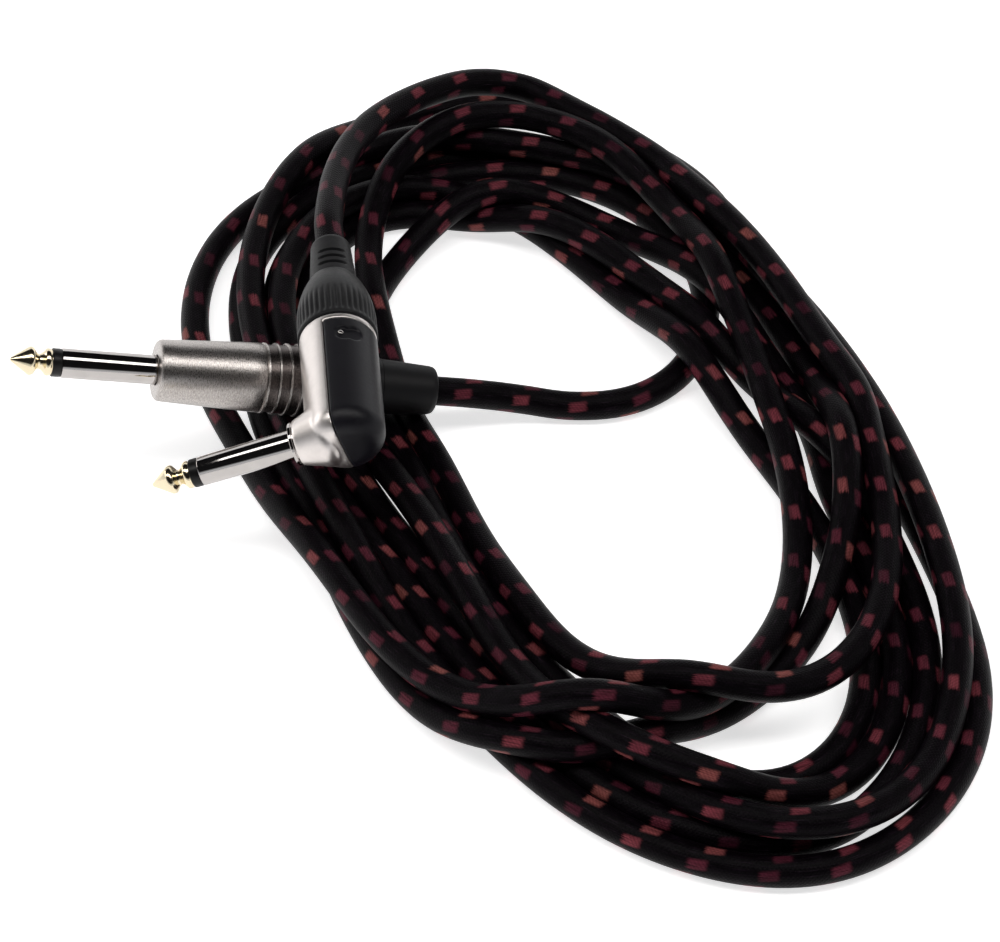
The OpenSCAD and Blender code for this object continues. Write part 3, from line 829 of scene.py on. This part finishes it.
def housing_piece():
    cone = [(1.7, 0)] + arc(3.9, 4.7, 2.2, -90, 17, 12) + [(NOSE_REACH - 0.9, 4.75),
            (NOSE_REACH - 0.9, 0)]
    mesh = carved("housing", form_mesh(0, HOUSING_REAR), [
        ("DIFFERENCE", box_mesh("half", (-20, -20, -20), (0.75, 20, HOUSING_REAR - 1.5))),
        ("UNION", rod_mesh(7.15, 15, HOUSING_REAR - 1)),
        ("UNION", along_x(lathe_mesh("cone", cone))),
        ("DIFFERENCE", form_mesh(1.6, 15)),
        ("DIFFERENCE", rod_mesh(6.45, 10, HOUSING_REAR + 3)),
        ("DIFFERENCE", along_x(rod_mesh(FINGER_R, -1, NOSE_REACH + 2))),
    ], smoothing=26)
    mesh.transform(ANGLE_PLACE)
    return declare(link("angle_housing_cast", mesh, FINISHES["housing_nickel"]), "root",
                   ["angle_housing"])


def nose_ring_piece():
    """The turned lip at the small end of the right-angle plug's nose."""
    profile = [(1.05, 3.3), (1.05, 4.4), (0.75, 4.45), (0.6, 4.62), (0.12, 4.62), (0.0, 4.5),
               (0.0, 3.9), (0.35, 3.75), (0.35, 3.3)]
    return turned_piece("angle_nose_lip", profile, ANGLE_FINGER_PLACE, "root", "sleeve_chrome", [])


RECESS_TURN = math.radians(-57)


def catch_piece():
    """The polished catch at one end of the cover's recess."""
    profile = [(-HOUSING_R + 0.1, 0.0)] + arc(-HOUSING_R + 0.4, 0.3, 0.3, -90, 0, 4)
    profile += [(-HOUSING_R + 2.0, 0.6), (-HOUSING_R + 2.0, 0.0)]
    place = ANGLE_PLACE @ Matrix.Rotation(RECESS_TURN, 4, "Z")
    place = place @ Matrix.Translation(Vector((0, 1.7, HOUSING_REAR - 6.0)) * MM) @ ALONG_X
    return turned_piece("angle_cover_catch", profile, place, "angle_cover_body", "sleeve_chrome", [],
                        sides=24)


def cover_piece():
    recess = []
    for side in (-1.1, 1.1):
        rod = along_x(rod_mesh(1.9, -HOUSING_R - 1, -HOUSING_R + 0.62))
        rod.transform(Matrix.Translation(Vector((0, side, HOUSING_REAR - 6.2)) * MM))
        rod.transform(Matrix.Rotation(RECESS_TURN, 4, "Z"))
        recess.append(("DIFFERENCE", rod))
    mesh = carved("cover", form_mesh(-0.05, HOUSING_REAR - 1.6), [
        ("DIFFERENCE", form_mesh(1.0, HOUSING_REAR)),
        ("DIFFERENCE", box_mesh("half", (0.6, -20, -20), (20, 20, 40))),
    ] + recess)
    mesh.transform(ANGLE_PLACE)
    return declare(link("angle_cover_moulded", mesh, FINISHES["cover_black"]), "angle_cover_body",
                   ["angle_cover"])


STRAIGHT_COLLAR_LENGTH = 16.2
ANGLE_COLLAR_LENGTH = 17.6
SEAM = 0.15                     # between a metal body and its collar
TAIL_SEAM = 0.05
STRAIGHT_COLLAR_AT = BARREL_LENGTH + SEAM
STRAIGHT_TAIL_AT = STRAIGHT_COLLAR_AT + STRAIGHT_COLLAR_LENGTH + TAIL_SEAM
ANGLE_COLLAR_AT = HOUSING_REAR + SEAM
ANGLE_TAIL_AT = ANGLE_COLLAR_AT + ANGLE_COLLAR_LENGTH + TAIL_SEAM

plug_pieces = finger_pieces("straight_", STRAIGHT_PLACE) + finger_pieces("angle_", ANGLE_FINGER_PLACE)
plug_pieces += [
    barrel_piece(), housing_piece(), nose_ring_piece(), catch_piece(), cover_piece(),
    collar_piece("straight_", STRAIGHT_PLACE, STRAIGHT_COLLAR_AT, STRAIGHT_COLLAR_LENGTH,
                 7.2, 6.3, 32, 0.22),
    collar_piece("angle_", ANGLE_PLACE, ANGLE_COLLAR_AT, ANGLE_COLLAR_LENGTH, 8.6, 5.35, 40, 0.3),
    tail_piece("straight_", STRAIGHT_PLACE, STRAIGHT_TAIL_AT, 12.95, 6.1, 5.2, ()),
    tail_piece("angle_", ANGLE_PLACE, ANGLE_TAIL_AT, 12.45, 5.15, 4.35, (2.3, 4.4, 6.5)),
]


def finish_cad_nodes():
    """Give every CAD node the finish of its slot."""
    slots = {row["node"]: row["material_slot"] for row in frame["record"]["subparts"]}
    for name, piece in frame["nodes"].items():
        piece.data.materials.clear()
        piece.data.materials.append(FINISHES[slots[name]])


finish_cad_nodes()
